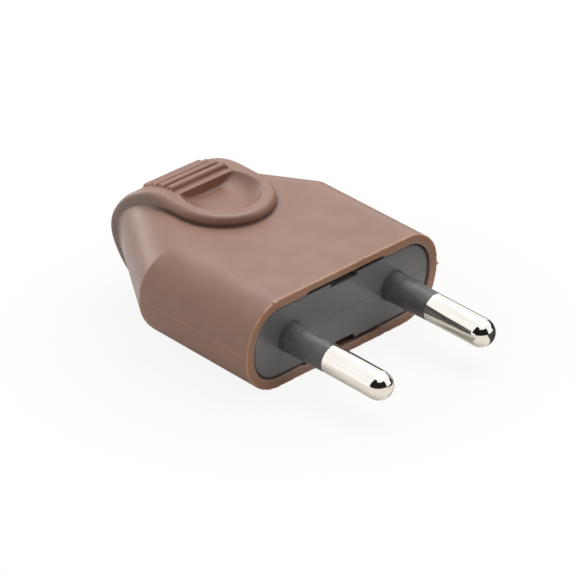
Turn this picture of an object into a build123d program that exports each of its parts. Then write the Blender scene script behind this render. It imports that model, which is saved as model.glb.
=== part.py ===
from build123d import *
from math import asin, atan, cos, degrees, radians, sin, sqrt
import os

# A rewireable two-pin plug with a soft moulded cover. Sizes are in millimetres.
# The pins point to -Y, the plug's flat sides face up and down, and the origin is
# at the middle of the cover's mouth.

# Cover body
body_width = 35.2
body_height = 13.3
side_flat = 1.3
straight_length = 19.9
taper_setback = 2.05
wall = 1.4
cavity_length = 27.0
mouth_edge = 0.12

# Pull strap, which runs over the cover's rear end from one flat side to the other
strap_width = 14.8
strap_rise = 1.55
strap_front = 15.9
strap_edge = 0.85
strap_lap = 0.8
crest_start = 26.6
crest_drop = 2.7
tail_step = 6.0

# Thumb dish in the strap's front end
dish_border = 1.8
dish_depth = 1.65
dish_round = 3.5
bar_flat = 0.6

# Grip ribs over the strap's crest
rib_count = 4
rib_pitch = 8.3
rib_first = 6.7
rib_margin = 2.3
rib_width = 0.95
rib_rise = 0.5
rib_root = 0.8
groove_width = 0.6
groove_depth = 0.45

# Cord that the plug takes, and its inlet in the cover's rear end
cord_diameter = 6.4
inlet_clearance = 0.3

# Insert
insert_clearance = 0.12
face_recess = 0.3
rear_clearance = 1.5
tongue_margin = 0.6
notch_width = 5.0
notch_depth = 0.75
notch_length = 1.5

# Lugs that hold the insert in the cover
lug_width = 14.0
lug_rise = 0.5
lug_front = 12.2
lug_length = 2.6
relief_depth = 0.3
relief_length = 2.0

# Pins and their sleeves
pin_spacing = 19.0
pin_diameter = 3.94
pin_reach = 17.2
core_diameter = 3.0
sleeve_reach = 7.1
sleeve_flare = 0.18
flange_front = 1.6
barrel_diameter = 6.0
barrel_front = 3.0
barrel_rear = 14.0
groove_front = 5.0
groove_rear = 6.6
groove_diameter = 4.6
wire_bore = 2.6
wire_depth = 7.0
seat_clearance = 0.05

# Terminal screws
terminal_place = 10.5
terminal_diameter = 3.0
terminal_bottom = 0.5
terminal_recess = 0.6
access_diameter = 3.6

# Screw that holds the insert's halves together
case_place = 8.0
case_diameter = 3.0
case_floor = 1.1
case_head_diameter = 5.5
case_head_height = 1.9

# Cord clamp and its screws
clamp_inset = 1.4
clamp_length = 4.6
clamp_gap = 1.5
clamp_clearance = 0.4
clamp_ear = 2.1
clamp_margin = 2.6
clamp_diameter = 2.5
clamp_screw_length = 6.0
clamp_head_diameter = 4.4
clamp_head_height = 1.7

# Screw slots and the play of screws in their holes and head seats
slot_width = 0.7
slot_depth = 0.9
screw_play = 0.1

# Sizes that follow from those above
half_height = body_height / 2
side_radius = half_height - side_flat / 2
strap_top = half_height + strap_rise
crest_radius = strap_top + crest_drop
crest_centre = (crest_start, -crest_drop)
tail_radius = crest_radius - tail_step
tail_centre = crest_start + sqrt(tail_step**2 - crest_drop**2)
tail_end = tail_centre + tail_radius
taper_length = tail_end - taper_setback - straight_length
taper_angle = degrees(atan((body_width - strap_width) / 2 / taper_length))
dish_radius = strap_width / 2 - dish_border
dish_centre = strap_front + strap_width / 2
dish_floor = dish_radius - sqrt(dish_depth * (2 * dish_round - dish_depth))
dish_turn = 90 - degrees(asin(1 - dish_depth / dish_round))
bar_front = crest_start - bar_flat
rib_length = strap_width - 2 * rib_margin
inlet_diameter = cord_diameter + 2 * inlet_clearance
cavity_half = half_height - wall
insert_inset = wall + insert_clearance
insert_top = half_height - insert_inset
pin_left_place = -pin_spacing / 2
pin_right_place = pin_spacing / 2
sleeve_base = pin_diameter + 2 * sleeve_flare
terminal_length = insert_top - terminal_recess - terminal_bottom
case_seat = insert_top - case_head_height - screw_play
case_length = case_seat + insert_top - case_floor
tongue_rear = cavity_length - rear_clearance
clamp_place = tongue_rear - clamp_inset - clamp_length / 2
clamp_crown = insert_top - clamp_clearance - cord_diameter / 2
clamp_screw_place = cord_diameter / 2 + clamp_crown + clamp_head_diameter / 2 + screw_play
clamp_half = clamp_screw_place + clamp_margin
upper_rear = clamp_place - clamp_length / 2 - clamp_gap
tongue_width = 2 * (clamp_half + tongue_margin)
chamber_width = pin_spacing + barrel_diameter
chamber_height = barrel_diameter
reach = 2 * (body_width + tail_end)


def body_form(inset, front, rear):
    """The cover's outer form, drawn in by an inset: flat above and below, round along
    the sides and tapered in plan towards the rear."""
    height = body_height - 2 * inset
    radius = side_radius - inset
    with BuildPart() as form:
        with BuildSketch(Plane.XZ.offset(-front)):
            RectangleRounded(body_width - 2 * inset, height, radius)
        extrude(amount=front - rear)
        for side in (-1, 1):
            taper = Plane(
                origin=(side * body_width / 2, straight_length, 0),
                x_dir=(-side * cos(radians(taper_angle)), -sin(radians(taper_angle)), 0),
                z_dir=(-side * sin(radians(taper_angle)), cos(radians(taper_angle)), 0),
            )
            with BuildSketch(taper):
                with Locations((inset, 0)):
                    RectangleRounded(reach, height, radius, align=(Align.MIN, Align.CENTER))
            extrude(amount=reach, both=True, mode=Mode.INTERSECT)
    return form.part


def tail_outline(inset, front):
    """Half of the strap's side outline, drawn in by an inset: flat on top, over the
    crest and round the tail down to mid-height."""
    top = strap_top - inset
    lean = Vector(tail_centre - crest_centre[0], -crest_centre[1]).normalized()
    joint = Vector(*crest_centre) + lean * (crest_radius - inset)
    half_turn = (90 + degrees(asin(lean.Y))) / 2
    crest_middle = Vector(*crest_centre) + Vector(crest_radius - inset, 0).rotate(Axis.Z, half_turn)
    with BuildLine() as outline:
        Polyline((tail_end - inset, 0), (front, 0), (front, top), (crest_start, top))
        ThreePointArc((crest_start, top), crest_middle, joint)
        tail_middle = Vector(tail_centre, 0) + Vector(tail_radius - inset, 0).rotate(
            Axis.Z, degrees(asin(lean.Y)) / 2
        )
        ThreePointArc(joint, tail_middle, (tail_end - inset, 0))
    return outline.line


# The strap: its upper half is shaped, then mirrored to the underside.
with BuildPart() as strap:
    with BuildSketch(Plane.YZ):
        add(tail_outline(0, strap_front))
        make_face()
    extrude(amount=strap_width / 2, both=True)
    with BuildSketch():
        with Locations((0, strap_front + strap_width / 2)):
            Circle(strap_width / 2)
            Rectangle(strap_width, reach, align=(Align.CENTER, Align.MIN))
    extrude(amount=reach, mode=Mode.INTERSECT)
    rim = strap.edges().filter_by_position(Axis.Z, strap_edge, reach)
    fillet(rim - rim.filter_by(Axis.Z) - rim.filter_by(Axis.X), strap_edge)
    mirror(about=Plane.XY)

# Ribs that stand on the crest, and the groove in front of each.
with BuildPart() as ribs:
    with BuildSketch(Plane.YZ):
        with Locations(crest_centre):
            with PolarLocations(
                crest_radius + rib_rise,
                rib_count,
                90 - rib_first,
                -rib_pitch * (rib_count - 1),
                endpoint=True,
            ):
                SlotOverall(rib_rise + rib_root, rib_width, align=(Align.MAX, Align.CENTER))
    extrude(amount=rib_length / 2, both=True)
    mirror(about=Plane.XY)

with BuildPart() as grooves:
    with BuildSketch(Plane.YZ):
        with Locations(crest_centre):
            with PolarLocations(
                crest_radius - groove_depth,
                rib_count,
                90 - rib_first + rib_pitch / 2,
                -rib_pitch * (rib_count - 1),
                endpoint=True,
            ):
                SlotOverall(groove_depth + rib_root, groove_width, align=(Align.MIN, Align.CENTER))
    extrude(amount=rib_length / 2, both=True)
    mirror(about=Plane.XY)

# The dish's hollow: a round bowl with a flat floor, ended by the wall of the bar behind it.
with BuildPart() as hollow:
    with BuildSketch(Plane((0, dish_centre, strap_top), x_dir=(1, 0, 0), z_dir=(0, -1, 0))):
        with BuildLine():
            Line((0, -dish_depth), (dish_floor, -dish_depth))
            CenterArc((dish_floor, dish_round - dish_depth), dish_round, -90, dish_turn)
            Polyline((dish_radius, 0), (dish_radius, rib_root), (0, rib_root), (0, -dish_depth))
        make_face()
    revolve(axis=Axis((0, dish_centre, 0), (0, 0, 1)))
    with BuildSketch(Plane.XZ.offset(-bar_front)):
        Rectangle(reach, reach)
    extrude(amount=reach, mode=Mode.INTERSECT)
    mirror(about=Plane.XY)

# The body ends inside the strap, a lap short of its outside.
with BuildPart() as body:
    add(body_form(0, 0, tail_end))
    with BuildSketch(Plane.YZ):
        add(tail_outline(strap_lap, 0))
        make_face()
        mirror(about=Plane.XZ)
    extrude(amount=reach, both=True, mode=Mode.INTERSECT)

with BuildPart() as cover:
    add(body.part)
    chamfer(cover.faces().sort_by(Axis.Y)[0].edges(), mouth_edge)
    add(strap.part)
    add(ribs.part)
    add(grooves.part, mode=Mode.SUBTRACT)
    add(hollow.part, mode=Mode.SUBTRACT)
    add(body_form(wall, 0, cavity_length), mode=Mode.SUBTRACT)

    # Pockets for the insert's lugs, and the lead-in for them at the mouth.
    with BuildSketch():
        with Locations((0, lug_front - insert_clearance)):
            Rectangle(
                lug_width + 2 * insert_clearance,
                lug_length + 2 * insert_clearance,
                align=(Align.CENTER, Align.MIN),
            )
    extrude(amount=cavity_half + lug_rise, both=True, mode=Mode.SUBTRACT)
    with BuildSketch():
        Rectangle(lug_width + 2 * insert_clearance, relief_length, align=(Align.CENTER, Align.MIN))
    extrude(amount=cavity_half + relief_depth, both=True, mode=Mode.SUBTRACT)

    # The cord's way in.
    with BuildSketch(Plane.XZ.offset(-cavity_length)):
        Circle(inlet_diameter / 2)
    extrude(amount=cavity_length - reach, mode=Mode.SUBTRACT)
cover.part.label = "cover"


def pin_at(place):
    """A turned pin: round tip, thinner core under the sleeve, terminal barrel inside."""
    tip = pin_diameter / 2
    core = core_diameter / 2
    barrel = barrel_diameter / 2
    groove = groove_diameter / 2
    with BuildPart() as pin:
        with BuildSketch(Plane((place, 0, 0))):
            with BuildLine():
                Line((0, barrel_rear), (0, -pin_reach))
                CenterArc((0, tip - pin_reach), tip, -90, 90)
                Polyline(
                    (tip, tip - pin_reach),
                    (tip, -sleeve_reach),
                    (core, -sleeve_reach),
                    (core, barrel_front),
                    (barrel, barrel_front),
                    (barrel, groove_front),
                    (groove, groove_front),
                    (groove, groove_rear),
                    (barrel, groove_rear),
                    (barrel, barrel_rear),
                    (0, barrel_rear),
                )
            make_face()
        revolve(axis=Axis((place, 0, 0), (0, 1, 0)))
        with BuildSketch(Plane.XZ.offset(-barrel_rear)):
            with Locations((place, 0)):
                Circle(wire_bore / 2)
        extrude(amount=wire_depth, mode=Mode.SUBTRACT)
        with BuildSketch():
            with Locations((place, terminal_place)):
                Circle(terminal_diameter / 2)
        extrude(amount=barrel_diameter, mode=Mode.SUBTRACT)
    return pin.part


def sleeve_at(place):
    """An insulating sleeve round a pin's core: conical, with a flange that the insert holds."""
    core = core_diameter / 2
    base = sleeve_base / 2
    flange = barrel_diameter / 2
    with BuildPart() as sleeve:
        with BuildSketch(Plane((place, 0, 0))):
            with BuildLine():
                Polyline(
                    (core, -sleeve_reach),
                    (pin_diameter / 2, -sleeve_reach),
                    (base, face_recess),
                    (base, flange_front),
                    (flange, flange_front),
                    (flange, barrel_front),
                    (core, barrel_front),
                    close=True,
                )
            make_face()
        revolve(axis=Axis((place, 0, 0), (0, 1, 0)))
    return sleeve.part


def seat_at(place):
    """The hollow that a pin and its sleeve lie in, with a rib for the barrel's groove."""
    mouth = sleeve_base / 2 + seat_clearance
    bore = barrel_diameter / 2 + seat_clearance
    groove = groove_diameter / 2 + seat_clearance
    with BuildPart() as seat:
        with BuildSketch(Plane((place, 0, 0))):
            with BuildLine():
                Polyline(
                    (0, face_recess),
                    (mouth, face_recess),
                    (mouth, flange_front - seat_clearance),
                    (bore, flange_front - seat_clearance),
                    (bore, groove_front + seat_clearance),
                    (groove, groove_front + seat_clearance),
                    (groove, groove_rear - seat_clearance),
                    (bore, groove_rear - seat_clearance),
                    (bore, barrel_rear),
                    (0, barrel_rear),
                    close=True,
                )
            make_face()
        revolve(axis=Axis((place, 0, 0), (0, 1, 0)))
    return seat.part


def half_insert(rear):
    """The insert above mid-height, back to a given length, with what both halves have: pin
    seats, wire chamber, face notch and retaining lug."""
    with BuildPart() as half:
        add(body_form(insert_inset, face_recess, rear))
        with BuildSketch(Plane.YZ):
            with BuildLine():
                Polyline(
                    (lug_front, 0),
                    (lug_front, insert_top + lug_rise),
                    (lug_front + lug_length, insert_top),
                    (lug_front + lug_length, 0),
                    close=True,
                )
            make_face()
        extrude(amount=lug_width / 2, both=True)
        split(bisect_by=Plane.XY)
        add(seat_at(pin_left_place), mode=Mode.SUBTRACT)
        add(seat_at(pin_right_place), mode=Mode.SUBTRACT)
        with BuildSketch():
            with Locations((0, barrel_rear)):
                Rectangle(chamber_width, upper_rear - barrel_rear, align=(Align.CENTER, Align.MIN))
        extrude(amount=chamber_height / 2, mode=Mode.SUBTRACT)
        with BuildSketch(Plane.XY.offset(insert_top)):
            with Locations((0, face_recess)):
                Rectangle(notch_width, notch_length, align=(Align.CENTER, Align.MIN))
        extrude(amount=-notch_depth, mode=Mode.SUBTRACT)
    return half.part


def screw_at(place, seat, diameter, length, head_diameter, head_height):
    """A slotted cheese-head screw, driven down until its head sits at a given height."""
    with BuildPart() as screw:
        with BuildSketch(Plane.XY.offset(seat)):
            with Locations(place):
                Circle(diameter / 2)
        extrude(amount=-length)
        with BuildSketch(Plane.XY.offset(seat)):
            with Locations(place):
                Circle(head_diameter / 2)
        extrude(amount=head_height)
        with BuildSketch(Plane.XY.offset(seat + head_height)):
            with Locations(place):
                Rectangle(slot_width, head_diameter)
        extrude(amount=-slot_depth, mode=Mode.SUBTRACT)
    return screw.part


# The upper half has the terminal screws' access holes and the case screw's head seat.
with BuildPart() as insert_upper:
    add(half_insert(upper_rear))
    with BuildSketch():
        with Locations((pin_left_place, terminal_place), (pin_right_place, terminal_place)):
            Circle(access_diameter / 2)
        with Locations((0, case_place)):
            Circle(case_diameter / 2 + screw_play)
    extrude(amount=half_height, mode=Mode.SUBTRACT)
    with BuildSketch(Plane.XY.offset(case_seat)):
        with Locations((0, case_place)):
            Circle(case_head_diameter / 2 + screw_play)
    extrude(amount=half_height, mode=Mode.SUBTRACT)
insert_upper.part.label = "insert_upper"

# The lower half runs on behind as a tongue with the cord's trough and the clamp's screw holes.
with BuildPart() as insert_lower:
    add(half_insert(tongue_rear))
    mirror(about=Plane.XY, mode=Mode.REPLACE)
    with BuildSketch():
        with Locations((0, upper_rear)):
            Rectangle(reach, reach, align=(Align.CENTER, Align.MIN))
            Rectangle(tongue_width, reach, align=(Align.CENTER, Align.MIN), mode=Mode.SUBTRACT)
    extrude(amount=-half_height, mode=Mode.SUBTRACT)
    with BuildSketch(Plane.XZ.offset(-upper_rear)):
        Circle(cord_diameter / 2)
    extrude(amount=upper_rear - tongue_rear, mode=Mode.SUBTRACT)
    with BuildSketch():
        with Locations((0, case_place)):
            Circle(case_diameter / 2)
    extrude(amount=case_seat - case_length, mode=Mode.SUBTRACT)
    with BuildSketch():
        with Locations((-clamp_screw_place, clamp_place), (clamp_screw_place, clamp_place)):
            Circle(clamp_diameter / 2)
    extrude(amount=clamp_ear - clamp_screw_length, mode=Mode.SUBTRACT)
insert_lower.part.label = "insert_lower"

with BuildPart() as pin_left:
    add(pin_at(pin_left_place))
pin_left.part.label = "pin_left"

with BuildPart() as pin_right:
    add(pin_at(pin_right_place))
pin_right.part.label = "pin_right"

with BuildPart() as pin_sleeve_left:
    add(sleeve_at(pin_left_place))
pin_sleeve_left.part.label = "pin_sleeve_left"

with BuildPart() as pin_sleeve_right:
    add(sleeve_at(pin_right_place))
pin_sleeve_right.part.label = "pin_sleeve_right"

# Set screws, slotted at the top, that press the wires in the barrels.
with BuildPart() as terminal_screws:
    with BuildSketch(Plane.XY.offset(terminal_bottom)):
        with Locations((pin_left_place, terminal_place), (pin_right_place, terminal_place)):
            Circle(terminal_diameter / 2)
    extrude(amount=terminal_length)
    with BuildSketch(Plane.XY.offset(terminal_bottom + terminal_length)):
        with Locations((pin_left_place, terminal_place), (pin_right_place, terminal_place)):
            Rectangle(terminal_diameter, slot_width)
    extrude(amount=-slot_depth, mode=Mode.SUBTRACT)
terminal_screws.part.label = "terminal_screws"

with BuildPart() as case_screw:
    add(
        screw_at(
            (0, case_place),
            case_seat,
            case_diameter,
            case_length,
            case_head_diameter,
            case_head_height,
        )
    )
case_screw.part.label = "case_screw"

# The saddle over the cord: an arch with an ear on each side.
with BuildPart() as cord_clamp:
    with BuildSketch(Plane.XZ.offset(-clamp_place)):
        Circle(cord_diameter / 2 + clamp_crown)
        Rectangle(2 * clamp_half, 2 * clamp_ear)
        Circle(cord_diameter / 2, mode=Mode.SUBTRACT)
        Rectangle(reach, reach, align=(Align.CENTER, Align.MAX), mode=Mode.SUBTRACT)
    extrude(amount=clamp_length / 2, both=True)
    with BuildSketch():
        with Locations((-clamp_screw_place, clamp_place), (clamp_screw_place, clamp_place)):
            Circle(clamp_diameter / 2 + screw_play)
    extrude(amount=clamp_ear, mode=Mode.SUBTRACT)
cord_clamp.part.label = "cord_clamp"

with BuildPart() as clamp_screws:
    for side in (-1, 1):
        add(
            screw_at(
                (side * clamp_screw_place, clamp_place),
                clamp_ear,
                clamp_diameter,
                clamp_screw_length,
                clamp_head_diameter,
                clamp_head_height,
            )
        )
clamp_screws.part.label = "clamp_screws"

os.makedirs("parts", exist_ok=True)
export_step(cover.part, "parts/cover.step")
export_step(insert_upper.part, "parts/insert_upper.step")
export_step(insert_lower.part, "parts/insert_lower.step")
export_step(pin_left.part, "parts/pin_left.step")
export_step(pin_right.part, "parts/pin_right.step")
export_step(pin_sleeve_left.part, "parts/pin_sleeve_left.step")
export_step(pin_sleeve_right.part, "parts/pin_sleeve_right.step")
export_step(terminal_screws.part, "parts/terminal_screws.step")
export_step(case_screw.part, "parts/case_screw.step")
export_step(cord_clamp.part, "parts/cord_clamp.step")
export_step(clamp_screws.part, "parts/clamp_screws.step")
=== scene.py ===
from math import asin, copysign, cos, pi, radians, sin, sqrt, tan

import bpy
from mathutils import Matrix, Vector


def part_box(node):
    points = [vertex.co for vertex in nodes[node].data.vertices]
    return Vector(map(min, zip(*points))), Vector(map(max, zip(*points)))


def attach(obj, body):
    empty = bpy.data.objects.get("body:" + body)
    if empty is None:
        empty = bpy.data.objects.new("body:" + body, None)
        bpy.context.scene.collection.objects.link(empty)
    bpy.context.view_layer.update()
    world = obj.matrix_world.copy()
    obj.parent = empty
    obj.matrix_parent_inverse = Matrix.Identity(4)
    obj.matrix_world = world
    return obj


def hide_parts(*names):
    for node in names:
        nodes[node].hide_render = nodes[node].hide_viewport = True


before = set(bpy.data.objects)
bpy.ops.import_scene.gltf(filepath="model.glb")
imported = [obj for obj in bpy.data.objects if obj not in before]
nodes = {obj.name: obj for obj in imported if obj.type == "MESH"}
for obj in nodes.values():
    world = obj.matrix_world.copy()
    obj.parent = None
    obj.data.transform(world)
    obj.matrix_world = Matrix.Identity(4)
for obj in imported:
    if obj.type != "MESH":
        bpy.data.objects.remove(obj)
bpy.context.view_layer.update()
half_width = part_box("cover")[1].x

MM = 0.001

# Lengths below are in millimetres and angles in degrees, unless a comment says otherwise.
# A name that ends in SPAN holds two places: where a smooth change starts and where it ends.
# A colour is its red, green and blue.

# Camera, as it stood to the plug in the photograph
CAMERA_AZIMUTH = -46.44
CAMERA_ELEVATION = 30.91
CAMERA_ROLL = 2.59
CAMERA_TARGET = (-11.02, 0.0, 8.14)
CAMERA_DISTANCE = 472.68
CAMERA_LENS = 234.96
CAMERA_SENSOR = 36.0
CAMERA_CLIP = (10.0, 20000.0)

# Cover: places on the moulding, from the mouth's plane, the middle plane and mid-height
MOUTH_HEIGHT = 13.3
MOUTH_SIDE_FLAT = 1.3
MOUTH_CORNER = (MOUTH_HEIGHT - MOUTH_SIDE_FLAT) / 2
STRAIGHT_LENGTH = 19.9
TAPER_END = 34.81
STRAP_FRONT = 15.9
STRAP_HALF = 7.4
STRAP_MIDDLE = STRAP_FRONT + STRAP_HALF
STRAP_FACE = 8.2
STRAP_ROLL = 7.3
RIB_START = 24.6
RIB_LIFT = 6.0

# Cover's mesh, which is made even, softened and thinned: the ribs and the crease are softened less
MERGE_DISTANCE = 0.002
SOFT_VOXEL = 0.17
SOFT_FACTOR = 0.5
SOFT_TIMES = 6
RIB_SOFT_SHARE = 0.35
CREASE_SOFT_SHARE = 0.15
CREASE_REACH = 0.5
KEPT_SHARE = 0.4

# Ragged outer edge of the mouth, calmer below mid-height
EDGE_DEPTH = 0.7
EDGE_RAGGED = 0.16
EDGE_RAGGED_SIZE = 1.5
EDGE_RAGGED_DETAIL = 3
EDGE_RAGGED_LEVEL = 0.55
LOW_EDGE_SHARE = 0.3

# Burr of flash round the mouth, which wanders above mid-height and left of BURR_CALM
BEAD_ROUNDNESS = 2
BURR_RADIUS = 0.13
BURR_WAVE = 0.2
BURR_WAVE_SIZE = 0.8
BURR_INSET = 0.12
BURR_CORNER_STEPS = 28
BURR_LONG_EDGE = 5.0
BURR_LONG_EDGE_CUTS = 56
BURR_CALM = 9.0
BURR_WANDER = 0.09
BURR_WANDER_SEED = 5

# Flakes of flash on the mouth's edge: places across and up, and the turn from one to the next, in radians
FLAKE_RADIUS = 0.3
FLAKE_STEPS = 3
FLAKE_SHAPE = (1.7, 0.9, 0.75)
FLAKE_PLACES = ((-12.9, 6.48), (-13.7, 6.2), (-14.5, 5.8), (3.4, 6.6), (2.5, 6.6))
FLAKE_INSET = 0.1
FLAKE_TURN = 0.7
FLAKE_SIZES = (0.95, 0.78, 0.61)

# Fine line of flash along each side
PARTING_RADIUS = 0.05
PARTING_WAVE = 0.11
PARTING_WAVE_SIZE = 1.3
PARTING_END_GAP = 0.5
PARTING_CUTS = 40

# Nub of flash at the mouth's right: its root lies inside the cover, and its place is behind the mouth and up
NUB_LENGTH = 0.95
NUB_ROOT = 0.25
NUB_RADIUS = 0.26
NUB_TIP_RADIUS = 0.05
NUB_FLATNESS = 0.7
NUB_PLACE = (0.3, 0.1)
NUB_SIDES = 20
NUB_CUTS = 2
NUB_SMOOTHNESS = 0.4

# Noise in the finishes: waves to the metre, and detail
CLOUD_NOISE = (260.0, 3.0)
GRAIN_NOISE = (2600.0, 2.0)
LINES_NOISE = (3200.0, 2.0)
LINES_STRETCH = 0.06
HAZE_NOISE = (420.0, 3.0)
SCUFF_NOISE = (900.0, 4.0)

# Parts of the noise's range over which a finish changes
CLOUD_RANGE = (0.3, 0.7)
BROAD_RANGE = (0.2, 0.8)
SCUFF_RANGE = (0.4, 0.68)
STREAK_RANGE = (0.34, 0.62)

# Cover: its mottled browns, and the strength and depth of its grain
COVER_BROWNS = ((0.273, 0.147, 0.105), (0.306, 0.168, 0.121))
COVER_ROUGHNESS = (0.33, 0.42)
COVER_GRAIN = (0.12, 0.05)
COVER_IOR = 1.54

# Rim of the mouth: its outer and inner browns, measured in from the outer outline
RIM_BROWNS = ((0.42, 0.19, 0.105), (0.35, 0.203, 0.145))
RIM_SPAN = (0.5, 1.2)
RIM_UNEVENNESS = 0.5
RIM_DEPTH_SPAN = (0.5, 0.05)

# Shade in the crease round the strap, weaker towards the tail and to the right
CREASE_BROWN = (0.07, 0.035, 0.024)
CREASE_SPAN = (0.7, 0.1)
TAIL_SPAN = (25.0, 30.0)
CREASE_TAIL_SHARES = (0.95, 0.35)
CREASE_RIGHT_SPAN = (1.0, 6.0)
CREASE_RIGHT_SHARES = (1.0, 0.7)

# Shade along the strap's two edges at the tail
TAIL_BROWN = (0.125, 0.09, 0.068)
TAIL_INNER_SPAN = (STRAP_HALF - 0.6, STRAP_HALF - 0.15)
TAIL_OUTER_SPAN = (STRAP_HALF + 0.12, STRAP_HALF + 0.03)
TAIL_SHARE = 0.55

# Grip: the ribbed stretch of the strap, a little darker and redder than the rest
GRIP_TINT = (0.94, 0.83, 0.78)
GRIP_FRONT_SPAN = (25.5, 25.9)
GRIP_REAR_SPAN = (33.4, 32.8)
GRIP_SIDE_SPAN = (5.5, 5.0)
GRIP_LIFT_SPAN = (5.0, 6.0)

# Flash
FLASH_BROWNS = ((0.42, 0.235, 0.155), (0.52, 0.32, 0.225))
FLASH_ROUGHNESS = 0.45

# Insert: its greys, the joint between its halves, which shows more to the right, and painted shade in the
# gap round it
INSERT_GREYS = ((0.186, 0.188, 0.2), (0.204, 0.206, 0.219))
INSERT_ROUGHNESS = (0.19, 0.22)
# Colour of the dark joint, and of the painted shade in the gap round the insert
INSERT_JOINT_DARK_AND_GAP_SHADE = (0.05, 0.05, 0.052)
JOINT_SPAN = (0.06, 0.018)
JOINT_RIGHT_SPAN = (-3.0, 1.0)
JOINT_RIGHT_SHARES = (0.3, 0.9)
GAP_SHADE_SPAN = (1.8, 1.62)

# Shade on the insert beside the left sleeve, measured from its middle
SLEEVE_SHADE_GREY = (0.09, 0.09, 0.095)
SLEEVE_SHADE_PLACE = (-12.6, 0.0, 2.2)
SLEEVE_SHADE_SPAN = (1.2, 3.6)
SLEEVE_SHADE_SHARE = 0.4

# Sleeves: greys, scuffs, fine marks round them in radians to the metre, and ridges near the insert
SLEEVE_GREYS = ((0.084, 0.084, 0.087), (0.1, 0.1, 0.103))
SLEEVE_ROUGHNESS = 0.28
SCUFF_GREY = (0.114, 0.114, 0.117)
SCUFF_ROUGHNESS = 0.16
SLEEVE_MARKS = 9000.0
SLEEVE_MARK_SHARE = 0.05
RIDGE_PLACES = (-0.75, -1.35)
RIDGE_SPAN = (0.16, 0.04)
SLEEVE_RELIEF = (0.5, 0.05)

# Pins: nickel plating with fine lines, and a spot where the left pin's plating is damaged
NICKEL_TONES = ((0.92, 0.885, 0.825), (0.98, 0.955, 0.905))
NICKEL_ROUGHNESS = (0.05, 0.1)
NICKEL_LINES = (0.03, 0.02)
SPOT_BROWN = (0.16, 0.12, 0.09)
SPOT_PLACE = (-11.29, -11.0, -0.83)
SPOT_SPAN = (0.15, 0.09)

# Screws
STEEL_TONES = ((0.5, 0.49, 0.47), (0.62, 0.61, 0.59))
STEEL_ROUGHNESS = (0.25, 0.4)

# Table: white to the camera, with the plug's shadow near it. Places are from the mouth's lower edge.
TABLE_SIZE = 2400.0
TABLE_COLOUR = (0.7, 0.66, 0.6)
TABLE_ROUGHNESS = 0.9
TABLE_GLOW = 0.9
TABLE_MIDDLE = (0.0, 10.0, 0.0)
TABLE_WHITE_SPAN = (26.0, 44.0)

# Table as gloss mirrors it: bright behind the plug, with painted shade near it, to the right, at a corner
# and between the pins
TABLE_PAINTED_SHADE = (0.05, 0.05, 0.05)
# Near the plug the table glows only faintly in reflections: painted shade
MIRRORED_GLOW_NEAR = 0.12
MIRRORED_GLOW_SPAN = (26.0, 42.0)
SHADE_SIDE_SPAN = (22.0, 28.0)
SHADE_CORNER_SIDE_SPAN = (11.5, 13.0)
SHADE_CORNER_FRONT_SPAN = (-10.0, -12.0)
BETWEEN_PINS_SPAN = (7.5, 5.5)
BETWEEN_FRONT_SPAN = (-17.0, -15.0)
BETWEEN_REAR_SPAN = (-6.0, -9.0)
BETWEEN_SLANT = 0.35
BETWEEN_SHARE = 0.55

# Dark walls round the set: from one azimuth to another, and up to an elevation
WALLS = (
    ("front_wall", -65.0, 16.0, 50.0),
    ("left_wall", -112.0, -65.0, 62.0),
    ("rear_left_wall", -178.0, -112.0, 20.0),
    ("right_wall", 62.0, 112.0, 20.0),
)
WALL_DISTANCE = 900.0
WALL_FOOT = -20.0
WALL_STEPS = 24
WALL_SHADE = 0.02
SEEN_IN_GLOSS_ONLY = ("left_wall",)
NOT_SEEN_IN_GLOSS = ("rear_left_wall",)

# Lights: power in watts
TOP_LIGHT_PLACE = (230.0, 90.0, 640.0)
TOP_LIGHT_SIZE = (620.0, 620.0)
TOP_LIGHT_POWER = 3.3
REAR_LIGHT_PLACE = (40.0, 500.0, 60.0)
REAR_LIGHT_SIZE = (320.0, 120.0)
REAR_LIGHT_POWER = 0.3
SKY_STRENGTH = 0.75


# Mesh helpers


def pick(piece):
    """Selects one object alone and makes it the active one."""
    bpy.ops.object.select_all(action="DESELECT")
    piece.select_set(True)
    bpy.context.view_layer.objects.active = piece


def apply_modifier(piece, kind, **settings):
    """Adds a modifier to a piece and applies it."""
    pick(piece)
    modifier = piece.modifiers.new(kind.lower(), kind)
    for key, value in settings.items():
        setattr(modifier, key, value)
    bpy.ops.object.modifier_apply(modifier=modifier.name)


def settle(piece):
    """Puts a piece's place, turn and size into its mesh."""
    pick(piece)
    bpy.ops.object.transform_apply(location=True, rotation=True, scale=True)


def merged_copy(node, name):
    """A copy of a CAD node's mesh with its seams merged, as the start of the piece that stands for it."""
    piece = bpy.data.objects.new(name, nodes[node].data.copy())
    bpy.context.scene.collection.objects.link(piece)
    pick(piece)
    bpy.ops.mesh.customdata_custom_splitnormals_clear()
    bpy.ops.object.mode_set(mode="EDIT")
    bpy.ops.mesh.select_all(action="SELECT")
    bpy.ops.mesh.remove_doubles(threshold=MERGE_DISTANCE * MM)
    bpy.ops.object.mode_set(mode="OBJECT")
    return piece


def clouds(name, size):
    """A cloudy texture that a surface is displaced by."""
    texture = bpy.data.textures.new(name, "CLOUDS")
    texture.noise_scale = size * MM
    return texture


def wear(piece, material):
    """Gives a piece one material in place of what it had."""
    piece.data.materials.clear()
    piece.data.materials.append(material)


# Node helpers


def new_material(name):
    material = bpy.data.materials.new(name)
    material.use_nodes = True
    return material, material.node_tree, material.node_tree.nodes["Principled BSDF"]


def add(tree, kind, **settings):
    """A new shader node with its settings."""
    node = tree.nodes.new("ShaderNode" + kind)
    for key, value in settings.items():
        setattr(node, key, value)
    return node


def link(tree, source, target):
    tree.links.new(source, target)


def use_group(tree, group):
    return add(tree, "Group", node_tree=group)


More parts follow.
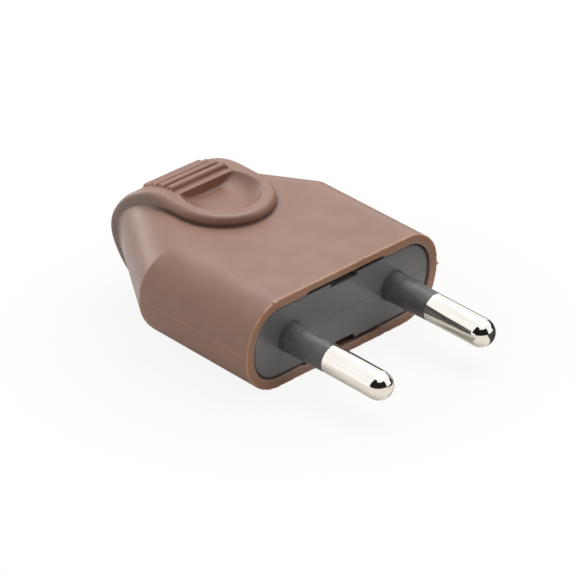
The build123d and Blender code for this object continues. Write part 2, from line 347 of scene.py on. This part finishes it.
def object_point(tree):
    """The point on the piece, in the piece's own frame."""
    return add(tree, "TexCoord").outputs["Object"]


def object_axes(tree):
    """The point's three coordinates, one by one."""
    axes = add(tree, "SeparateXYZ")
    link(tree, object_point(tree), axes.inputs["Vector"])
    return axes.outputs


def away_from(tree, place):
    """How far the point lies from a place that is given in millimetres."""
    node = add(tree, "VectorMath", operation="DISTANCE")
    link(tree, object_point(tree), node.inputs[0])
    node.inputs[1].default_value = [v * MM for v in place]
    return node.outputs["Value"]


def ramp(tree, value, low, high, out_low=0.0, out_high=1.0):
    """A smooth change from one value to another as the input passes from low to high."""
    node = add(tree, "MapRange", interpolation_type="SMOOTHSTEP")
    link(tree, value, node.inputs["Value"])
    node.inputs["From Min"].default_value = low
    node.inputs["From Max"].default_value = high
    node.inputs["To Min"].default_value = out_low
    node.inputs["To Max"].default_value = out_high
    return node.outputs["Result"]


def fade(tree, value, span, out_low=0.0, out_high=1.0):
    """The same, along a span in millimetres."""
    return ramp(tree, value, span[0] * MM, span[1] * MM, out_low, out_high)


def blend_colour(tree, factor, first, second, kind="MIX"):
    """A mix of two colours, each a socket or a plain colour."""
    node = add(tree, "Mix", data_type="RGBA", blend_type=kind)
    link(tree, factor, node.inputs["Factor"])
    sockets = [s for s in node.inputs if s.type == "RGBA"]
    for socket, colour in zip(sockets, (first, second)):
        if isinstance(colour, tuple):
            socket.default_value = (*colour, 1)
        else:
            link(tree, colour, socket)
    return [s for s in node.outputs if s.type == "RGBA"][0]


def noise(tree, point, scale, detail):
    node = add(tree, "TexNoise")
    link(tree, point, node.inputs["Vector"])
    node.inputs["Scale"].default_value = scale
    node.inputs["Detail"].default_value = detail
    return node.outputs["Fac"]


def calc(tree, operation, first, *others):
    """Takes an operation through several values in turn, each a socket or a plain number."""
    for other in others:
        node = add(tree, "Math", operation=operation)
        for socket, value in zip(node.inputs, (first, other)):
            if isinstance(value, float):
                socket.default_value = value
            else:
                link(tree, value, socket)
        first = node.outputs["Value"]
    return first


def calc_one(tree, operation, value):
    """An operation on one value."""
    node = add(tree, "Math", operation=operation)
    link(tree, value, node.inputs[0])
    return node.outputs["Value"]


def bump(tree, height, strength, depth):
    node = add(tree, "Bump")
    node.inputs["Strength"].default_value = strength
    node.inputs["Distance"].default_value = depth * MM
    link(tree, height, node.inputs["Height"])
    return node.outputs["Normal"]


# Effects that several finishes share


def new_group(name, *outputs):
    """An empty node group with the outputs named, and the node that they are linked to."""
    group = bpy.data.node_groups.new(name, "ShaderNodeTree")
    for output in outputs:
        group.interface.new_socket(output, in_out="OUTPUT", socket_type="NodeSocketFloat")
    return group, group.nodes.new("NodeGroupOutput")


def moulded_grain():
    """Fine grain of a moulded surface: a slow cloud for colour and a fine height for the bump."""
    group, output = new_group("moulded_grain", "Cloud", "Grain")
    point = object_point(group)
    link(group, noise(group, point, *CLOUD_NOISE), output.inputs["Cloud"])
    link(group, noise(group, point, *GRAIN_NOISE), output.inputs["Grain"])
    return group


def drawn_metal():
    """Fine lines of a plated metal part, drawn out along its length, and a slow haze."""
    group, output = new_group("drawn_metal", "Lines", "Haze")
    point = object_point(group)
    stretch = add(group, "Mapping")
    stretch.inputs["Scale"].default_value = (1.0, LINES_STRETCH, 1.0)
    link(group, point, stretch.inputs["Vector"])
    link(group, noise(group, stretch.outputs["Vector"], *LINES_NOISE), output.inputs["Lines"])
    link(group, noise(group, point, *HAZE_NOISE), output.inputs["Haze"])
    return group


def mouth_outline():
    """How far a point lies inside the mouth's outer outline, in metres."""
    group, output = new_group("mouth_outline", "Inside")
    axes = object_axes(group)
    corner = MOUTH_CORNER * MM
    from_corner = add(group, "CombineXYZ")
    for axis, flat in (("X", half_width - corner), ("Z", MOUTH_SIDE_FLAT / 2 * MM)):
        out = calc(group, "SUBTRACT", calc_one(group, "ABSOLUTE", axes[axis]), flat)
        link(group, calc(group, "MAXIMUM", out, 0.0), from_corner.inputs[axis])
    away = add(group, "VectorMath", operation="LENGTH")
    link(group, from_corner.outputs["Vector"], away.inputs[0])
    link(group, calc(group, "SUBTRACT", corner, away.outputs["Value"]), output.inputs["Inside"])
    return group


GRAIN = moulded_grain()
DRAWN = drawn_metal()
OUTLINE = mouth_outline()


# Finishes


def cover_finish():
    """Soft brown, redder at the rim and on the grip, and dark in the crease round the strap."""
    material, tree, shader = new_material("cover_soft_brown")
    grain = use_group(tree, GRAIN)
    x, y, z = object_axes(tree)
    cloud = ramp(tree, grain.outputs["Cloud"], *CLOUD_RANGE)
    colour = blend_colour(tree, cloud, *COVER_BROWNS)

    uneven = calc(tree, "MULTIPLY", cloud, RIM_UNEVENNESS * MM)
    inside = calc(tree, "ADD", use_group(tree, OUTLINE).outputs["Inside"], uneven)
    rim = blend_colour(tree, fade(tree, inside, RIM_SPAN), *RIM_BROWNS)
    colour = blend_colour(tree, fade(tree, y, RIM_DEPTH_SPAN), colour, rim)

    from_crease = add(tree, "Attribute", attribute_name="from_crease").outputs["Fac"]
    to_tail = fade(tree, y, TAIL_SPAN, *CREASE_TAIL_SHARES)
    to_right = fade(tree, x, CREASE_RIGHT_SPAN, *CREASE_RIGHT_SHARES)
    crease = calc(tree, "MULTIPLY", fade(tree, from_crease, CREASE_SPAN), to_tail, to_right)
    colour = blend_colour(tree, crease, colour, CREASE_BROWN)

    side = calc_one(tree, "ABSOLUTE", x)
    edge = fade(tree, y, TAIL_SPAN, 0.0, TAIL_SHARE)
    for span in (TAIL_INNER_SPAN, TAIL_OUTER_SPAN):
        edge = calc(tree, "MULTIPLY", edge, fade(tree, side, span))
    colour = blend_colour(tree, edge, colour, TAIL_BROWN)

    grip = fade(tree, y, GRIP_FRONT_SPAN)
    lift = calc_one(tree, "ABSOLUTE", z)
    for value, span in ((y, GRIP_REAR_SPAN), (side, GRIP_SIDE_SPAN), (lift, GRIP_LIFT_SPAN)):
        grip = calc(tree, "MULTIPLY", grip, fade(tree, value, span))
    colour = blend_colour(tree, grip, colour, GRIP_TINT, "MULTIPLY")
    link(tree, colour, shader.inputs["Base Color"])

    roughness = ramp(tree, grain.outputs["Cloud"], *CLOUD_RANGE, *COVER_ROUGHNESS)
    link(tree, calc(tree, "MAXIMUM", roughness, crease), shader.inputs["Roughness"])
    link(tree, bump(tree, grain.outputs["Grain"], *COVER_GRAIN), shader.inputs["Normal"])
    shader.inputs["IOR"].default_value = COVER_IOR
    return material


def flash_finish():
    """Thin flash, paler than the cover."""
    material, tree, shader = new_material("mould_flash")
    grain = use_group(tree, GRAIN)
    link(tree, blend_colour(tree, grain.outputs["Cloud"], *FLASH_BROWNS), shader.inputs["Base Color"])
    shader.inputs["Roughness"].default_value = FLASH_ROUGHNESS
    return material


def insert_finish():
    """Hard grey, dark along the joint of its halves, with painted shade at the gap round it and beside the
    left sleeve.
    """
    material, tree, shader = new_material("insert_grey")
    grain = use_group(tree, GRAIN)
    x, _, z = object_axes(tree)
    colour = blend_colour(tree, grain.outputs["Cloud"], *INSERT_GREYS)
    joint = fade(tree, calc_one(tree, "ABSOLUTE", z), JOINT_SPAN)
    joint = calc(tree, "MULTIPLY", joint, fade(tree, x, JOINT_RIGHT_SPAN, *JOINT_RIGHT_SHARES))
    # Painted shade in the gap round the insert
    gap = fade(tree, use_group(tree, OUTLINE).outputs["Inside"], GAP_SHADE_SPAN)
    colour = blend_colour(tree, calc(tree, "MAXIMUM", joint, gap), colour, INSERT_JOINT_DARK_AND_GAP_SHADE)
    away = away_from(tree, SLEEVE_SHADE_PLACE)
    beside_sleeve = fade(tree, away, SLEEVE_SHADE_SPAN, SLEEVE_SHADE_SHARE, 0.0)
    colour = blend_colour(tree, beside_sleeve, colour, SLEEVE_SHADE_GREY)
    link(tree, colour, shader.inputs["Base Color"])
    roughness = ramp(tree, grain.outputs["Cloud"], *BROAD_RANGE, *INSERT_ROUGHNESS)
    link(tree, roughness, shader.inputs["Roughness"])
    return material


def sleeve_finish():
    """Dark grey with scuffs, fine marks round it and two ridges near the insert."""
    material, tree, shader = new_material("sleeve_dark_grey")
    grain = use_group(tree, GRAIN)
    y = object_axes(tree)["Y"]
    scuffs = ramp(tree, noise(tree, object_point(tree), *SCUFF_NOISE), *SCUFF_RANGE)
    colour = blend_colour(tree, grain.outputs["Cloud"], *SLEEVE_GREYS)
    link(tree, blend_colour(tree, scuffs, colour, SCUFF_GREY), shader.inputs["Base Color"])
    rougher = calc(tree, "MULTIPLY", scuffs, SCUFF_ROUGHNESS)
    link(tree, calc(tree, "ADD", rougher, SLEEVE_ROUGHNESS), shader.inputs["Roughness"])
    marks = calc_one(tree, "SINE", calc(tree, "MULTIPLY", y, SLEEVE_MARKS))
    height = calc(tree, "MULTIPLY", marks, SLEEVE_MARK_SHARE)
    for place in RIDGE_PLACES:
        away = calc_one(tree, "ABSOLUTE", calc(tree, "SUBTRACT", y, place * MM))
        height = calc(tree, "ADD", height, fade(tree, away, RIDGE_SPAN))
    link(tree, bump(tree, height, *SLEEVE_RELIEF), shader.inputs["Normal"])
    return material


def nickel_finish():
    """Bright plating with fine lines, and one damaged spot."""
    material, tree, shader = new_material("pin_nickel")
    drawn = use_group(tree, DRAWN)
    streaks = ramp(tree, drawn.outputs["Lines"], *STREAK_RANGE)
    colour = blend_colour(tree, streaks, *NICKEL_TONES)
    spot = fade(tree, away_from(tree, SPOT_PLACE), SPOT_SPAN)
    link(tree, blend_colour(tree, spot, colour, SPOT_BROWN), shader.inputs["Base Color"])
    roughness = ramp(tree, drawn.outputs["Haze"], *BROAD_RANGE, *NICKEL_ROUGHNESS)
    link(tree, roughness, shader.inputs["Roughness"])
    link(tree, bump(tree, drawn.outputs["Lines"], *NICKEL_LINES), shader.inputs["Normal"])
    shader.inputs["Metallic"].default_value = 1.0
    return material


def steel_finish():
    """Duller steel of the screws."""
    material, tree, shader = new_material("screw_steel")
    drawn = use_group(tree, DRAWN)
    link(tree, blend_colour(tree, drawn.outputs["Haze"], *STEEL_TONES), shader.inputs["Base Color"])
    roughness = ramp(tree, drawn.outputs["Lines"], *BROAD_RANGE, *STEEL_ROUGHNESS)
    link(tree, roughness, shader.inputs["Roughness"])
    shader.inputs["Metallic"].default_value = 1.0
    return material


cover_look = cover_finish()
flash_look = flash_finish()
insert_look = insert_finish()
sleeve_look = sleeve_finish()
nickel_look = nickel_finish()
steel_look = steel_finish()


# Cover: the moulding with softened edges and a ragged mouth


def past_flat(x):
    """How far a place lies beyond the flat stretch of the mouth's top edge, in millimetres."""
    return max(abs(x) - half_width / MM + MOUTH_CORNER, 0.0)


def from_mouth_edge(x, z):
    """How far a point lies inside the mouth's outer outline, in millimetres."""
    above = max(abs(z) - MOUTH_SIDE_FLAT / 2, 0.0)
    return MOUTH_CORNER - Vector((past_flat(x), above)).length


def from_strap_wall(x, y):
    """How far a point lies outside the strap's upright wall, in millimetres."""
    return Vector((x, min(y - STRAP_MIDDLE, 0.0))).length - STRAP_HALF


def crease_height(y):
    """Height at which the body's top and its tapered sides meet the strap's wall, in millimetres."""
    run = (TAPER_END - STRAIGHT_LENGTH, half_width / MM - STRAP_HALF)
    inside = (TAPER_END - y) * run[1] / Vector(run).length
    drop = min(max(MOUTH_CORNER - inside, 0.0), MOUTH_CORNER)
    return MOUTH_SIDE_FLAT / 2 + sqrt(MOUTH_CORNER**2 - drop**2)


def soften(piece):
    """Rounds the moulding's edges: fully on the body, less on the ribs, hardly in the strap's crease."""
    soft = piece.vertex_groups.new(name="soft")
    everywhere, gently, barely = [], [], []
    for vertex in piece.data.vertices:
        x, y, z = vertex.co / MM
        at_crease = abs(from_strap_wall(x, y)) < CREASE_REACH and abs(z) < STRAP_ROLL
        on_ribs = y > RIB_START and abs(z) > RIB_LIFT
        (barely if at_crease else gently if on_ribs else everywhere).append(vertex.index)
    soft.add(everywhere, 1.0, "REPLACE")
    soft.add(gently, RIB_SOFT_SHARE, "REPLACE")
    soft.add(barely, CREASE_SOFT_SHARE, "REPLACE")
    apply_modifier(piece, "SMOOTH", factor=SOFT_FACTOR, iterations=SOFT_TIMES, vertex_group="soft")


def roughen_mouth(piece):
    """Makes the mouth's outer edge ragged, as the mould left it."""
    edge = piece.vertex_groups.new(name="mouth_edge")
    for vertex in piece.data.vertices:
        x, y, z = vertex.co / MM
        weight = (1 - y / EDGE_DEPTH) * (1 - from_mouth_edge(x, z) / EDGE_DEPTH)
        if z < 0.0:
            weight *= LOW_EDGE_SHARE
        if y < EDGE_DEPTH and weight > 0.0:
            edge.add([vertex.index], min(weight, 1.0), "REPLACE")
    ragged = clouds("mouth_edge_clouds", EDGE_RAGGED_SIZE)
    ragged.noise_depth = EDGE_RAGGED_DETAIL
    apply_modifier(
        piece, "DISPLACE", texture=ragged, texture_coords="LOCAL", strength=EDGE_RAGGED * MM,
        mid_level=EDGE_RAGGED_LEVEL, vertex_group="mouth_edge",
    )


def mark_crease(piece):
    """Notes how far each point lies from the crease round the strap, for the shade in it."""
    away = []
    for vertex in piece.data.vertices:
        x, y, z = vertex.co / MM
        away.append(Vector((from_strap_wall(x, y), abs(z) - crease_height(y))).length * MM)
    piece.data.attributes.new("from_crease", "FLOAT", "POINT").data.foreach_set("value", away)


def model_cover():
    """The cover in the CAD's shape, with the edges and the mouth of a soft moulding."""
    piece = merged_copy("cover", "cover_moulding")
    apply_modifier(piece, "REMESH", mode="VOXEL", voxel_size=SOFT_VOXEL * MM)
    soften(piece)
    roughen_mouth(piece)
    apply_modifier(piece, "DECIMATE", ratio=KEPT_SHARE)
    piece.vertex_groups.clear()
    pick(piece)
    bpy.ops.object.shade_smooth()
    mark_crease(piece)
    wear(piece, cover_look)
    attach(piece, "root")
    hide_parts("cover")


model_cover()


# Mould flash: a wavy burr and flakes at the mouth's edge, a fine line along each side and a nub at the right


def finish_flash(piece):
    """Shades the piece that is picked and fixes it to the plug's root, as the cover is."""
    bpy.ops.object.shade_smooth()
    wear(piece, flash_look)
    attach(piece, "root")


def bead(name, thickness, wave, wave_size):
    """Turns the active object's edges into a thin bead with a wavy surface."""
    bpy.ops.object.convert(target="CURVE")
    piece = bpy.context.object
    piece.name = name
    piece.data.bevel_depth = thickness * MM
    piece.data.bevel_resolution = BEAD_ROUNDNESS
    piece.data.use_fill_caps = True
    bpy.ops.object.convert(target="MESH")
    waves = clouds(name + "_clouds", wave_size)
    apply_modifier(piece, "DISPLACE", texture=waves, texture_coords="LOCAL", strength=wave * MM)
    settle(piece)
    finish_flash(piece)


def model_mouth_burr():
    """A bead of flash that follows the mouth's outer edge."""
    height = MOUTH_HEIGHT - 2 * BURR_INSET
    corner = (height - MOUTH_SIDE_FLAT) / 2
    bpy.ops.object.select_all(action="DESELECT")
    bpy.ops.mesh.primitive_plane_add(size=1.0, location=(0, BURR_INSET * MM, 0), rotation=(pi / 2, 0, 0))
    piece = bpy.context.object
    piece.scale = (2 * (half_width - BURR_INSET * MM), height * MM, 1)
    settle(piece)

    # The outline: a rounded frame of edges
    bpy.ops.object.mode_set(mode="EDIT")
    bpy.ops.mesh.select_all(action="SELECT")
    bpy.ops.mesh.bevel(offset=corner * MM, segments=BURR_CORNER_STEPS, affect="VERTICES")
    bpy.ops.mesh.select_all(action="SELECT")
    bpy.ops.mesh.delete(type="ONLY_FACE")
    bpy.ops.mesh.select_all(action="DESELECT")
    bpy.ops.object.mode_set(mode="OBJECT")

    # The long straight edges are divided
    for edge in piece.data.edges:
        ends = [piece.data.vertices[i].co for i in edge.vertices]
        edge.select = (ends[0] - ends[1]).length > BURR_LONG_EDGE * MM
    bpy.ops.object.mode_set(mode="EDIT")
    bpy.ops.mesh.select_mode(type="EDGE")
    bpy.ops.mesh.subdivide(number_cuts=BURR_LONG_EDGE_CUTS)
    bpy.ops.mesh.select_mode(type="VERT")
    bpy.ops.mesh.select_all(action="DESELECT")
    bpy.ops.object.mode_set(mode="OBJECT")

    # The upper left stretch wanders
    for vertex in piece.data.vertices:
        vertex.select = vertex.co.z > 0.0 and vertex.co.x < BURR_CALM * MM
    bpy.ops.object.mode_set(mode="EDIT")
    bpy.ops.transform.vertex_random(offset=BURR_WANDER * MM, seed=BURR_WANDER_SEED)
    bpy.ops.object.mode_set(mode="OBJECT")
    bead("mouth_burr", BURR_RADIUS, BURR_WAVE, BURR_WAVE_SIZE)


def model_flakes():
    """Flakes that stand on the mouth's outer edge: one is modelled and the others are copies of it."""
    bpy.ops.object.select_all(action="DESELECT")
    bpy.ops.mesh.primitive_ico_sphere_add(subdivisions=FLAKE_STEPS, radius=FLAKE_RADIUS * MM)
    first = bpy.context.object
    first.scale = FLAKE_SHAPE
    settle(first)
    rough = clouds("flake_clouds", FLAKE_RADIUS)
    apply_modifier(first, "DISPLACE", texture=rough, texture_coords="LOCAL", strength=FLAKE_RADIUS * MM)
    for count, (x, z) in enumerate(FLAKE_PLACES):
        flake = bpy.data.objects.new("mouth_flake_" + str(count + 1), first.data.copy())
        bpy.context.scene.collection.objects.link(flake)
        flake.location = (x * MM, FLAKE_INSET * MM, z * MM)
        along_edge = copysign(asin(past_flat(x) / MOUTH_CORNER), x)
        flake.rotation_euler = (FLAKE_TURN * count, along_edge, 0)
        flake.scale = [FLAKE_SIZES[count % len(FLAKE_SIZES)]] * 3
        settle(flake)
        finish_flash(flake)
    bpy.data.objects.remove(first)


def model_parting_line(name, x):
    """A line of flash along one straight side, from a flat plane that is drawn in to one edge."""
    bpy.ops.object.select_all(action="DESELECT")
    bpy.ops.mesh.primitive_plane_add(size=1.0, location=(x, STRAIGHT_LENGTH / 2 * MM, 0))
    piece = bpy.context.object
    piece.scale = (0.0, (STRAIGHT_LENGTH - 2 * PARTING_END_GAP) * MM, 0.0)
    settle(piece)
    bpy.ops.object.mode_set(mode="EDIT")
    bpy.ops.mesh.select_all(action="SELECT")
    bpy.ops.mesh.remove_doubles(threshold=MERGE_DISTANCE * MM)
    bpy.ops.mesh.subdivide(number_cuts=PARTING_CUTS)
    bpy.ops.object.mode_set(mode="OBJECT")
    bead(name, PARTING_RADIUS, PARTING_WAVE, PARTING_WAVE_SIZE)


def model_nub():
    """A small point of flash that stands out to the right."""
    behind, up = NUB_PLACE
    place = (half_width + (NUB_LENGTH / 2 - NUB_ROOT) * MM, behind * MM, up * MM)
    bpy.ops.object.select_all(action="DESELECT")
    bpy.ops.mesh.primitive_cone_add(
        vertices=NUB_SIDES, radius1=NUB_RADIUS * MM, radius2=NUB_TIP_RADIUS * MM, depth=NUB_LENGTH * MM,
        location=place, rotation=(0, pi / 2, 0),
    )
    piece = bpy.context.object
    piece.name = "mouth_nub"
    piece.scale = (1.0, NUB_FLATNESS, 1.0)
    settle(piece)
    bpy.ops.object.mode_set(mode="EDIT")
    bpy.ops.mesh.select_all(action="SELECT")
    bpy.ops.mesh.subdivide(number_cuts=NUB_CUTS, smoothness=NUB_SMOOTHNESS)
    bpy.ops.object.mode_set(mode="OBJECT")
    finish_flash(piece)


model_mouth_burr()
model_flakes()
model_parting_line("parting_line_left", -half_width)
model_parting_line("parting_line_right", half_width)
model_nub()


# Pieces that stay as the CAD made them
for name in ("pin_left", "pin_right"):
    wear(nodes[name], nickel_look)
for name in ("pin_sleeve_left", "pin_sleeve_right"):
    wear(nodes[name], sleeve_look)
for name in ("terminal_screws", "case_screw", "clamp_screws"):
    wear(nodes[name], steel_look)
for name in ("insert_upper", "insert_lower", "cord_clamp"):
    wear(nodes[name], insert_look)


# Set: a white table, dark walls, a soft light overhead, a weak one behind and a white sky


def table_finish():
    """White to the camera with a soft shadow, and with stretches of painted shade where gloss mirrors it."""
    material, tree, shader = new_material("table_white")
    shader.inputs["Roughness"].default_value = TABLE_ROUGHNESS
    shader.inputs["Specular IOR Level"].default_value = 0.0
    x, y, _ = object_axes(tree)
    path = add(tree, "LightPath")
    mirrored = calc(tree, "MAXIMUM", path.outputs["Is Glossy Ray"], path.outputs["Is Transmission Ray"])

    # Painted shade that only gloss sees: to the right, at a corner and between the pins
    right = fade(tree, x, SHADE_SIDE_SPAN)
    corner = fade(tree, x, SHADE_CORNER_SIDE_SPAN)
    corner = calc(tree, "MULTIPLY", corner, fade(tree, y, SHADE_CORNER_FRONT_SPAN))
    between = fade(tree, calc_one(tree, "ABSOLUTE", x), BETWEEN_PINS_SPAN)
    slanted = calc(tree, "SUBTRACT", y, calc(tree, "MULTIPLY", x, BETWEEN_SLANT))
    for span in (BETWEEN_FRONT_SPAN, BETWEEN_REAR_SPAN):
        between = calc(tree, "MULTIPLY", between, fade(tree, slanted, span))
    between = calc(tree, "MULTIPLY", between, BETWEEN_SHARE)
    dark = calc(tree, "MAXIMUM", right, corner, between)
    in_painted_shade = calc(tree, "MULTIPLY", mirrored, dark)
    link(tree, blend_colour(tree, in_painted_shade, TABLE_COLOUR, TABLE_PAINTED_SHADE), shader.inputs["Base Color"])

    # In reflections the table glows white behind the plug and only faintly near it, which paints shade there
    behind = fade(tree, y, MIRRORED_GLOW_SPAN, MIRRORED_GLOW_NEAR, 1.0)
    in_gloss = calc(tree, "MULTIPLY", mirrored, calc(tree, "SUBTRACT", behind, dark))
    white = fade(tree, away_from(tree, TABLE_MIDDLE), TABLE_WHITE_SPAN, TABLE_GLOW, 1.0)
    direct = calc(tree, "MULTIPLY", path.outputs["Is Camera Ray"], white)
    glow = add(tree, "Emission")
    mix = add(tree, "MixShader")
    link(tree, calc(tree, "MAXIMUM", direct, in_gloss), mix.inputs["Fac"])
    link(tree, shader.outputs["BSDF"], mix.inputs[1])
    link(tree, glow.outputs["Emission"], mix.inputs[2])
    link(tree, mix.outputs["Shader"], tree.nodes["Material Output"].inputs["Surface"])
    return material


def add_table():
    """The table that the mouth's lower edge and the front of the lower strap rest on."""
    bpy.ops.object.select_all(action="DESELECT")
    bpy.ops.mesh.primitive_plane_add(size=TABLE_SIZE * MM)
    table = bpy.context.object
    table.name = "table"
    low_rim = Vector((0, 0, -MOUTH_HEIGHT / 2 * MM))
    low_strap = Vector((0, STRAP_FRONT * MM, -STRAP_FACE * MM))
    along = low_strap - low_rim
    # The slope is small, so it serves as the angle.
    table.rotation_euler = (along.z / along.y, 0, 0)
    table.location = low_rim
    wear(table, table_finish())


def wall_finish(name):
    """Plain dark grey with no gloss."""
    material, tree, shader = new_material(name)
    shader.inputs["Base Color"].default_value = (WALL_SHADE, WALL_SHADE, WALL_SHADE, 1)
    shader.inputs["Roughness"].default_value = 1.0
    shader.inputs["Specular IOR Level"].default_value = 0.0
    return material


def add_wall(name, start, end, rise):
    """An upright wall round part of the set, from one azimuth to another and up to an elevation."""
    bpy.ops.object.select_all(action="DESELECT")
    bpy.ops.mesh.primitive_plane_add(size=1.0)
    wall = bpy.context.object
    wall.name = name
    bpy.ops.object.mode_set(mode="EDIT")
    bpy.ops.mesh.select_mode(type="VERT")
    bpy.ops.mesh.select_all(action="SELECT")
    bpy.ops.mesh.merge(type="CENTER")
    azimuth = radians(start)
    foot = Vector((sin(azimuth), -cos(azimuth), 0)) * WALL_DISTANCE * MM + Vector((0, 0, WALL_FOOT * MM))
    up = (0, 0, WALL_DISTANCE * tan(radians(rise)) * MM)
    bpy.ops.transform.translate(value=foot)
    bpy.ops.mesh.extrude_vertices_move(TRANSFORM_OT_translate={"value": up})
    bpy.ops.mesh.select_all(action="SELECT")
    bpy.ops.mesh.spin(steps=WALL_STEPS, angle=radians(start - end), center=(0, 0, 0), axis=(0, 0, 1))
    bpy.ops.object.mode_set(mode="OBJECT")
    wear(wall, wall_finish(name + "_grey"))
    wall.visible_camera = False
    wall.visible_diffuse = name not in SEEN_IN_GLOSS_ONLY
    wall.visible_glossy = name not in NOT_SEEN_IN_GLOSS


def add_lamp(name, place, size, power):
    """A soft lamp that faces the plug."""
    lamp = bpy.data.lights.new(name, "AREA")
    lamp.shape = "RECTANGLE"
    lamp.size = size[0] * MM
    lamp.size_y = size[1] * MM
    lamp.energy = power
    light = bpy.data.objects.new(name, lamp)
    light.location = Vector(place) * MM
    light.rotation_euler = (-light.location).to_track_quat("-Z", "Y").to_euler()
    bpy.context.scene.collection.objects.link(light)


def add_sky():
    """A white sky: full white where it is seen or mirrored, and weaker as a light."""
    world = bpy.data.worlds.new("studio")
    bpy.context.scene.world = world
    world.use_nodes = True
    tree = world.node_tree
    sky = tree.nodes["Background"]
    sky.inputs["Color"].default_value = (1, 1, 1, 1)
    rays = add(tree, "LightPath").outputs
    seen = calc(tree, "MAXIMUM", rays["Is Camera Ray"], rays["Is Glossy Ray"], rays["Is Transmission Ray"])
    link(tree, ramp(tree, seen, 0.0, 1.0, SKY_STRENGTH, 1.0), sky.inputs["Strength"])


def add_camera():
    """The camera, turned to its target and rolled a little."""
    azimuth, elevation = radians(CAMERA_AZIMUTH), radians(CAMERA_ELEVATION)
    back = Vector((sin(azimuth) * cos(elevation), -cos(azimuth) * cos(elevation), sin(elevation)))
    data = bpy.data.cameras.new("camera")
    data.lens = CAMERA_LENS
    data.sensor_width = CAMERA_SENSOR
    data.sensor_fit = "HORIZONTAL"
    data.clip_start = CAMERA_CLIP[0] * MM
    data.clip_end = CAMERA_CLIP[1] * MM
    camera = bpy.data.objects.new("camera", data)
    bpy.context.scene.collection.objects.link(camera)
    turn = (-back).to_track_quat("-Z", "Y").to_matrix()
    roll = Matrix.Rotation(radians(CAMERA_ROLL), 3, "Z")
    place = (Vector(CAMERA_TARGET) + back * CAMERA_DISTANCE) * MM
    camera.matrix_world = Matrix.LocRotScale(place, (turn @ roll).to_quaternion(), None)
    bpy.context.scene.camera = camera


add_table()
for wall in WALLS:
    add_wall(*wall)
add_lamp("top_light", TOP_LIGHT_PLACE, TOP_LIGHT_SIZE, TOP_LIGHT_POWER)
add_lamp("rear_light", REAR_LIGHT_PLACE, REAR_LIGHT_SIZE, REAR_LIGHT_POWER)
add_sky()
add_camera()
bpy.context.scene.view_settings.view_transform = "Standard"
